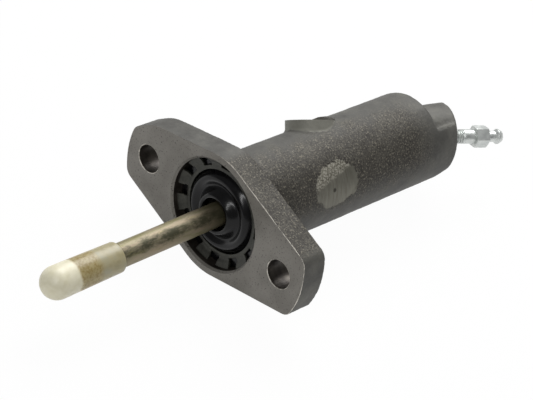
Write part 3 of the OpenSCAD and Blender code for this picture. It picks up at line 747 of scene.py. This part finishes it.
def port_blanks():
    """The boss of the fluid port, and the low swell of metal beside it."""
    boss = [(0, 0), (PORT_R, 0), (PORT_R, PORT_REACH + 1), (0, PORT_REACH + 1)]
    past_port = 15
    behind_port = 8
    sunk_to = 12.4
    half_sizes = (8.0, 21.0, 7.0)
    deselect()
    bpy.ops.mesh.primitive_uv_sphere_add(segments=96, ring_count=48, radius=1)
    swelling = rename(bpy.context.object, "port_swell")
    turn = math.radians(PORT_THETA + past_port)
    middle = mm(sunk_to * math.cos(turn), PORT_Y + behind_port, sunk_to * math.sin(turn))
    place(swelling, Matrix.Translation(middle) @ Matrix.Rotation(-turn, 4, "Y")
          @ Matrix.Diagonal((*mm(*half_sizes), 1)))
    return [place(turned("port_blank", boss), AT_PORT), swelling]


def roughen(casting):
    """Gives the blank the relief of the sand mould, and grinds the bare spot flush."""
    swell_size = 7
    swell_depth = 0.10
    lump_size = 2.2
    lump_depth = 0.05
    grit_size = 0.9
    grit_depth = 0.07
    jag_size = 1.5
    jag_share = 0.08
    soft_share = 0.06
    ground_depth = 0.14
    shrink = 0.12
    normals = [v.normal.copy() for v in casting.data.vertices]
    places = []
    for v, normal in zip(casting.data.vertices, normals):
        p = v.co / MM
        away = Vector((p - GROUND_CENTRE)[i] / GROUND_R[i] for i in range(3)).length
        jag = jag_share * noise.noise(p / jag_size)
        ground = min(max((1.0 + jag - away) / soft_share, 0), 1)
        swell = swell_depth * noise.noise(p / swell_size) + lump_depth * noise.noise(p / lump_size)
        grit = grit_depth * noise.noise(p / grit_size)
        raised = (swell + grit) * (1 - ground) - ground_depth * ground - shrink
        places.extend(v.co + normal * MM * raised)
    casting.data.vertices.foreach_set("co", places)
    casting.data.update()


def machine(casting, tool, finish):
    """Takes a tool's shape out of the casting; finish is the slot of the metal that the tool leaves."""
    tool.data.materials.clear()
    for m in casting.data.materials:
        tool.data.materials.append(m)
    for face in tool.data.polygons:
        face.material_index = finish
    cut(casting, tool)


def drill(casting, name, profile, matrix, finish, steps=PLAIN_STEPS, rule=None):
    """Cuts a turned hole or face in the casting."""
    tool = turned(name, profile, steps)
    if rule:
        shape_vertices(tool, rule)
    machine(casting, place(tool, matrix), finish)


def edge_tool():
    """A plate with the flange let into it at 45 degrees, which rubs down the edge of the faced side."""
    rub = 0.3
    deep = rub + 0.15
    start = -1.5
    end = deep + 0.3
    plate = place(turned("edge_plate", [(0, -1), (FAR, -1), (FAR, deep), (0, deep)]), TO_BORE)
    cut(plate, flange_prism("edge_core", start, end, (rub - start, rub - end)))
    return plate


def sand_cast_blank():
    """The casting as it leaves the mould, with the cheek by the bleed boss blended in."""
    voxel = 0.55
    cheek_on_boss = (-3, 0, 10)
    cheek_out = (6, 0, 6)
    cheek_reach = 11
    cheek_rounds = 14
    parts = [flange_blank(), barrel_blank(), cheek_blank(), bleed_boss_blank(), *port_blanks()]
    casting = parts[0]
    take(casting, *parts[1:])
    bpy.ops.object.join()
    rename(casting, "cast_body")
    modify(casting, "REMESH", mode="VOXEL", voxel_size=mm(voxel))
    modify(casting, "SMOOTH", factor=0.5, iterations=2)
    group = casting.vertex_groups.new(name="cheek_edge")
    middle = AT_BLEED @ mm(*cheek_on_boss) + mm(*cheek_out)
    inside = [v.index for v in casting.data.vertices if (v.co - middle).length < mm(cheek_reach)]
    group.add(inside, 1.0, "ADD")
    modify(casting, "SMOOTH", factor=0.5, iterations=cheek_rounds, vertex_group="cheek_edge")
    roughen(casting)
    return casting


def face_flange(casting):
    ahead = 20
    chamfer = 0.8
    front = [(0, -ahead), (FAR, -ahead), (FAR, 0), (0, 0)]
    drill(casting, "facing_cut", front, TO_BORE, AS_FACED)
    # The rubbed edge carries a painted highlight
    machine(casting, edge_tool(), AS_RUBBED_PAINTED_HIGHLIGHT)
    rim = [(0, -OVER), (RECESS_R + chamfer + OVER, -OVER), (RECESS_R, chamfer), (0, chamfer)]
    drill(casting, "recess_chamfer", rim, TO_BORE, AS_FACED, LARGE_STEPS)


def bore_out(casting):
    """The recess, the bore and the groove of the stop's circlip."""
    groove_start = 10.6
    groove_end = 11.9
    groove_r = BORE_R + 1.1
    bore = [(0, -OVER), (RECESS_R, -OVER), (RECESS_R, RECESS_DEPTH), (BORE_R, RECESS_DEPTH),
            (BORE_R, groove_start), (groove_r, groove_start), (groove_r, groove_end),
            (BORE_R, groove_end), (BORE_R, BORE_DEPTH), (0, BORE_DEPTH)]
    drill(casting, "bore_cut", bore, TO_BORE, AS_DRILLED, LARGE_STEPS)


def face_bosses(casting):
    land = [(0, BLEED_LAND), (BLEED_BOSS_R, BLEED_LAND), (BLEED_BOSS_R, FAR), (0, FAR)]
    drill(casting, "land_cut", land, AT_BLEED, AS_FACED)
    spot_r = PORT_R + 0.3
    spot = [(0, PORT_REACH), (spot_r, PORT_REACH), (spot_r, FAR), (0, FAR)]
    drill(casting, "spot_cut", spot, AT_PORT, AS_FACED)


def drill_port(casting):
    """The port's threaded hole, with the feed hole that runs on into the bore."""
    pitch = 1.0
    feed_r = 1.75
    mouth_r = 5.1
    thread_start = PORT_REACH - PORT_THREAD
    port = [(0, BORE_R - 2), (feed_r, BORE_R - 2), (feed_r, thread_start), (PORT_DRILL_R, thread_start)]
    port += column(PORT_DRILL_R, thread_start + 0.15, PORT_REACH - 0.5, pitch / 6)
    port += [(mouth_r, PORT_REACH), (mouth_r, PORT_REACH + 2), (0, PORT_REACH + 2)]
    drill(casting, "port_cut", port, AT_PORT, AS_DRILLED, 60,
          screw_thread(PORT_DRILL_R, PORT_THREAD_R, pitch, thread_start, PORT_REACH - 0.4))


def drill_bleed_passage(casting):
    """The screw's hole with its seat cone, and the passage to the bore."""
    passage_r = 1.25
    screw_r = 3
    flare = 0.3
    cone_top = BLEED_TIP + 1.6
    passage = [(0, -OVER), (passage_r, -OVER), (passage_r, BLEED_TIP), (screw_r, cone_top),
               (screw_r, BLEED_LAND - flare), (screw_r + flare, BLEED_LAND), (screw_r + flare, FAR), (0, FAR)]
    drill(casting, "bleed_cut", passage, AT_BLEED, AS_DRILLED, 48)


def drill_bolt_holes(casting):
    burr = 0.25
    end = FLANGE_T + 4
    rim = [(0, -OVER), (BOLT_HOLE_R + burr + OVER, -OVER), (BOLT_HOLE_R, burr), (0, burr)]
    hole = [(0, -OVER), (BOLT_HOLE_R, -OVER), (BOLT_HOLE_R, end), (0, end)]
    for side in (-1, 1):
        at_bolt = Matrix.Translation(mm(side * BOLT_X, 0, 0)) @ TO_BORE
        # The rubbed rim carries a painted highlight
        drill(casting, "bolt_hole_rim", rim, at_bolt, AS_RUBBED_PAINTED_HIGHLIGHT)
        drill(casting, "bolt_hole_cut", hole, at_bolt, AS_DRILLED)


def make_casting():
    casting = sand_cast_blank()
    for m in (CAST, FACED, DRILLED, RUBBED_IRON_PAINTED_HIGHLIGHT):
        casting.data.materials.append(m)
    face_flange(casting)
    bore_out(casting)
    face_bosses(casting)
    drill_port(casting)
    drill_bleed_passage(casting)
    drill_bolt_holes(casting)
    smooth(casting)
    return casting


# Folded boot with a rolled mouth, moulded in one with the bead that the ring holds in the recess
def make_boot():
    middle = 4.8
    lean = 2.3
    height = 1.1
    wall = 1.2
    mouth = 7.1
    bead = 16.5
    bead_top = 5.15
    roll_r = 1.0
    steps = 30

    def fold(radius):
        share = max(0, bead - radius) / (bead - mouth)
        return middle - lean * share + height * math.cos(math.radians(540 * share))

    def offset(radius, side):
        slope = (fold(radius + 0.01) - fold(radius - 0.01)) / 0.02
        scale = side * wall / 2 / math.hypot(1, slope)
        return (radius - slope * scale, fold(radius) + scale)

    radii = [mouth + roll_r + (bead - mouth - roll_r) * i / steps for i in range(steps + 1)]
    front = [offset(r, -1) for r in radii]
    rear = [offset(r, 1) for r in reversed(radii)]
    outer = RECESS_R - FIT
    base = RECESS_DEPTH - FIT
    seat = [(bead + 0.5, bead_top), (outer, bead_top), (outer, base), (bead, base)]
    roll = arc((mouth, fold(mouth)), roll_r, 50, 310, 14)
    profile = front + seat + rear + roll
    boot = place(turned("folded_boot", profile + profile[:1], 144), along_bore(0))
    boot.data.materials.append(BOOT_RUBBER)
    smooth(boot, 50)
    return boot


# Sheet ring: a flat band with teeth bent forward, which bite in the wall of the recess
def make_ring():
    sheet = 0.9
    inner = 16.3
    band = 18.7
    bend = 0.5
    depth = 4.2
    rise = 1.6
    teeth = 12
    slot = 4.6
    slot_start = band - sheet
    first_slot = 10
    burr = 0.12
    tip = RECESS_R - FIT
    profile = [(inner, depth), (slot_start, depth), (band, depth), (band + bend, depth - bend / 2),
               (tip, depth - rise)]
    ring = turned("toothed_ring", profile, 360)

    def in_slot(middle, normal):
        p = middle / MM
        if math.hypot(p.x, p.y) < slot_start:
            return False
        for i in range(teeth):
            a = math.radians(-first_slot - i * 360 / teeth)
            across = abs(p.y * math.cos(a) - p.x * math.sin(a))
            if across < slot / 2 and p.x * math.cos(a) + p.y * math.sin(a) > 0:
                return True
        return False
    choose(ring, "polygons", in_slot)
    bpy.ops.mesh.delete(type="FACE")
    finish_edit(ring)
    if ring.data.polygons[0].normal.z > 0:
        choose(ring, "polygons", lambda middle, normal: True)
        bpy.ops.mesh.flip_normals()
    modify(ring, "SOLIDIFY", thickness=mm(sheet), offset=-1)
    modify(ring, "BEVEL", width=mm(burr), segments=2, limit_method="ANGLE", angle_limit=math.radians(50))
    place(ring, along_bore(0))
    ring.data.materials.append(RING_STEEL)
    smooth(ring)
    return ring


# Loose rod: a ball in the piston's socket, a plain bar and a knurled end under the cap
def make_rod():
    ball = 6.0
    bar_start = math.sqrt(ball ** 2 - ROD_R ** 2)
    neck = math.degrees(math.asin(bar_start / ball))
    end = 84.1
    chamfer = 0.8
    knurl_start = 75.1
    knurl_end = 83.3
    ridges = 24
    ridge_pitch = 1.2
    ridge_share = 0.03
    profile = arc((0, 0), ball, -90, neck, 24)[:-1] + column(ROD_R, bar_start, knurl_start, 2)
    profile += column(ROD_R, knurl_start + 0.2, knurl_end, 0.2) + [(ROD_R - chamfer, end), (0, end)]
    rod = turned("ball_ended_rod", profile, 144)

    def knurled(co):
        p = co / MM
        reach = math.hypot(p.x, p.y)
        if reach < 0.95 * ROD_R or not knurl_start < p.z < knurl_end + 0.01:
            return co
        lines = ridges * math.atan2(p.y, p.x)
        slant = TAU * p.z / ridge_pitch
        ridge = math.cos(lines + slant) * math.cos(lines - slant)
        return Vector((co.x, co.y, 0)) * (1 + ridge_share * ridge) + Vector((0, 0, co.z))
    shape_vertices(rod, knurled)
    place(rod, AT_BALL)
    rod.data.materials.append(ROD_FINISH)
    smooth(rod)
    return rod


# Moulded cap with a domed tip; its sleeve is thin and lets the rod's knurled end show
def make_cap():
    tip = 99.4
    dome = 6.1
    edge = 67.0
    edge_r = 5.7
    lip_r = 0.45
    chamfer = 0.3
    hole_end = 84.15
    seat = ROD_R + FIT
    lip = arc((edge_r - lip_r, edge + lip_r), lip_r, 0, -90, 5)
    profile = [(0, hole_end), (seat, hole_end), (seat, edge + chamfer), (seat + chamfer, edge)] + lip[::-1]
    profile += column(edge_r, edge + 0.6, tip - dome, 3)[:-2] + arc((0, tip - dome), dome, 0, 90, 20)
    cap = turned("nylon_cap", profile, 128)

    def tapered(co):
        p = co / MM
        share = min(max((p.z - edge) / (tip - dome - edge), 0), 1)
        reach = math.hypot(p.x, p.y)
        if p.z > tip - dome - 0.1 or reach < edge_r - 0.5:
            return co
        grow = (reach + (dome - edge_r) * share) / reach
        return Vector((co.x * grow, co.y * grow, co.z))
    shape_vertices(cap, tapered)
    place(cap, AT_BALL)
    cap.data.materials.append(NYLON)
    smooth(cap, 40)
    return cap


# Bleed screw in one turned piece: sealing cone, thread, hexagon with turned chamfers, neck and hose nipple
def make_bleed_screw():
    major = 2.95
    root = 2.42
    pitch = 1.0
    tip = BLEED_TIP + FIT
    tip_r = 1.2
    cone = 1.6
    shank_end = 24.6
    hex_start = 29.4
    hex_end = 35.0
    hex_turn = -77.4
    flats = 4.0
    corners = flats / math.cos(math.radians(30))
    chamfer = 0.3
    neck = 2.25
    neck_end = 39.2
    head = 3.1
    rounding = 0.15
    end = 42.0
    end_r = 2.2
    hole_r = 0.9
    hole_flare = 0.25
    hole_end = tip + 3
    profile = [(0, tip), (tip_r, tip), (major - chamfer, tip + cone)]
    profile += column(major, tip + cone + chamfer, shank_end, pitch / 8)
    profile += [(major, hex_start), (corners - chamfer, hex_start)]
    steps = [chamfer * i / 3 for i in range(4)]
    profile += [(corners - chamfer + s, hex_start + s) for s in steps[1:]]
    profile += [(corners - s, hex_end - chamfer + s) for s in steps]
    profile += [(neck, hex_end), (neck, neck_end - 0.2), (neck + 0.3, neck_end),
                (head - rounding, neck_end + 0.55), (head, neck_end + 0.75), (head, neck_end + 1.3),
                (head - rounding, neck_end + 1.6), (end_r + rounding, end - 0.1), (end_r, end)]
    profile += [(hole_r + hole_flare, end), (hole_r, end - hole_flare), (hole_r, hole_end), (0, hole_end)]
    screw = turned("threaded_bleed_screw", profile)
    shape_vertices(screw, screw_thread(root, major, pitch, tip + cone + 0.1, shank_end))

    def six_flats(co):
        p = co / MM
        reach = math.hypot(p.x, p.y)
        if reach < major + 0.2 or not hex_start - 0.01 < p.z < hex_end + 0.01:
            return co
        from_flat = math.atan2(p.y, p.x) % (TAU / 6) - TAU / 12
        scale = min(1, flats / math.cos(from_flat) / reach)
        return Vector((co.x * scale, co.y * scale, co.z))
    shape_vertices(screw, six_flats)
    place(screw, AT_BLEED @ Matrix.Rotation(math.radians(hex_turn), 4, "Z"))
    screw.data.materials.append(BRIGHT_ZINC)
    smooth(screw)
    return screw


# Conical spring of round wire with closed ends. It stands on the bore's end and carries the piston's seat.
def make_spring():
    wire = 0.65
    front_r = 5.8
    rear_r = 9.3
    turns = 9
    closed = 1
    low, high = (corner.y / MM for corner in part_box("piston_spring"))
    start = low + wire
    length = high - low - 2 * wire
    end_rise = 2 * wire / length
    profile = [(0, 0)] + column(wire, 0, turns, 1 / 40) + [(0, turns)]
    spring = turned("piston_coil_spring", profile, 12)

    def rise(t):
        if t < closed:
            return end_rise * t / closed
        if t > turns - closed:
            return 1 - end_rise * (turns - t) / closed
        return end_rise + (1 - 2 * end_rise) * (t - closed) / (turns - 2 * closed)

    def coiled(co):
        p = co / MM
        share = rise(p.z)
        reach = front_r + (rear_r - front_r) * share + p.x
        turn = TAU * p.z
        return mm(reach * math.cos(turn), start + length * share + p.y, reach * math.sin(turn))
    shape_vertices(spring, coiled)
    spring.data.materials.append(SPRING_STEEL)
    smooth(spring, 50)
    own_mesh(spring)
    return spring


def dress(piece, body, node):
    """Puts a new piece on its body, in the place of a node of the construction model."""
    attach(piece, body)
    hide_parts(node)


dress(make_casting(), "cylinder", "cylinder_body")
dress(make_boot(), "cylinder", "dust_boot")
dress(make_ring(), "cylinder", "boot_ring")
dress(make_rod(), "rod", "pushrod")
dress(make_cap(), "rod", "rod_cap")
dress(make_bleed_screw(), "bleeder", "bleed_screw")
dress(make_spring(), "cylinder", "piston_spring")

# Inner pieces keep the construction model's shape
INNER = {"stop_circlip": SPRING_STEEL, "stop_washer": PRESSED_STEEL, "piston": TURNED_ALLOY,
         "piston_cup": CUP_RUBBER, "spring_seat": PRESSED_STEEL, "rod_clip": SPRING_STEEL}
for node, finish in INNER.items():
    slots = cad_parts[node].data.materials
    slots.clear()
    slots.append(finish)


# Stage: a pale floor under the part, a white world and large soft lamps
def white_for_camera(name, colour, share):
    """A surface of that colour that camera, glossy and transmission rays see as nearly white."""
    material, tree = new_tree(name)
    matt = add(tree, "BsdfDiffuse", {"Color": srgb(colour)})
    light = add(tree, "Emission", {"Strength": 1.0})
    rays = add(tree, "LightPath")
    seen = add(tree, "Math", {"operation": "MAXIMUM"}, {0: rays.outputs["Is Camera Ray"],
                                                        1: rays.outputs["Is Glossy Ray"]})
    through = add(tree, "Math", {"operation": "MAXIMUM"}, {0: seen, 1: rays.outputs["Is Transmission Ray"]})
    part = add(tree, "Math", {"operation": "MULTIPLY", 1: share}, {0: through})
    mixed = add(tree, "MixShader", links={0: part, 1: matt, 2: light})
    return finished(material, mixed)


def make_floor():
    deselect()
    bpy.ops.mesh.primitive_plane_add(size=8)
    floor = rename(bpy.context.object, "floor")
    place(floor, Matrix.Translation((0, 0, cad_low.z - mm(0.2))))
    floor.data.materials.append(white_for_camera("pale_floor", "#e4e4e4", 0.97))


def softbox(name, where, target, width, height, power):
    data = bpy.data.lights.new(name, "AREA")
    data.shape = "RECTANGLE"
    data.size = width
    data.size_y = height
    data.energy = power
    lamp = bpy.data.objects.new(name, data)
    bpy.context.scene.collection.objects.link(lamp)
    aim = Vector(where) - Vector(target)
    lamp.matrix_world = Matrix.Translation(where) @ aim.to_track_quat("Z", "Y").to_matrix().to_4x4()


def white_world(strength):
    world = bpy.data.worlds.new("white_world")
    world.use_nodes = True
    tree = world.node_tree
    tree.nodes.clear()
    rays = add(tree, "LightPath")
    soft = add(tree, "Background", {"Color": srgb("#ffffff"), "Strength": strength})
    full = add(tree, "Background", {"Color": srgb("#ffffff"), "Strength": 1.0})
    mixed = add(tree, "MixShader", links={0: rays.outputs["Is Camera Ray"], 1: soft, 2: full})
    add(tree, "OutputWorld", links={"Surface": mixed})
    bpy.context.scene.world = world


make_floor()
softbox("overhead", where=(-0.32, 0.46, 0.72), target=(0, 0.02, 0), width=0.7, height=0.7, power=10.3)
softbox("front_strip", where=(0.34, -0.61, 0.72), target=(0, 0, 0), width=0.06, height=0.6, power=2.5)
white_world(strength=0.26)
bpy.context.scene.view_settings.view_transform = "Standard"
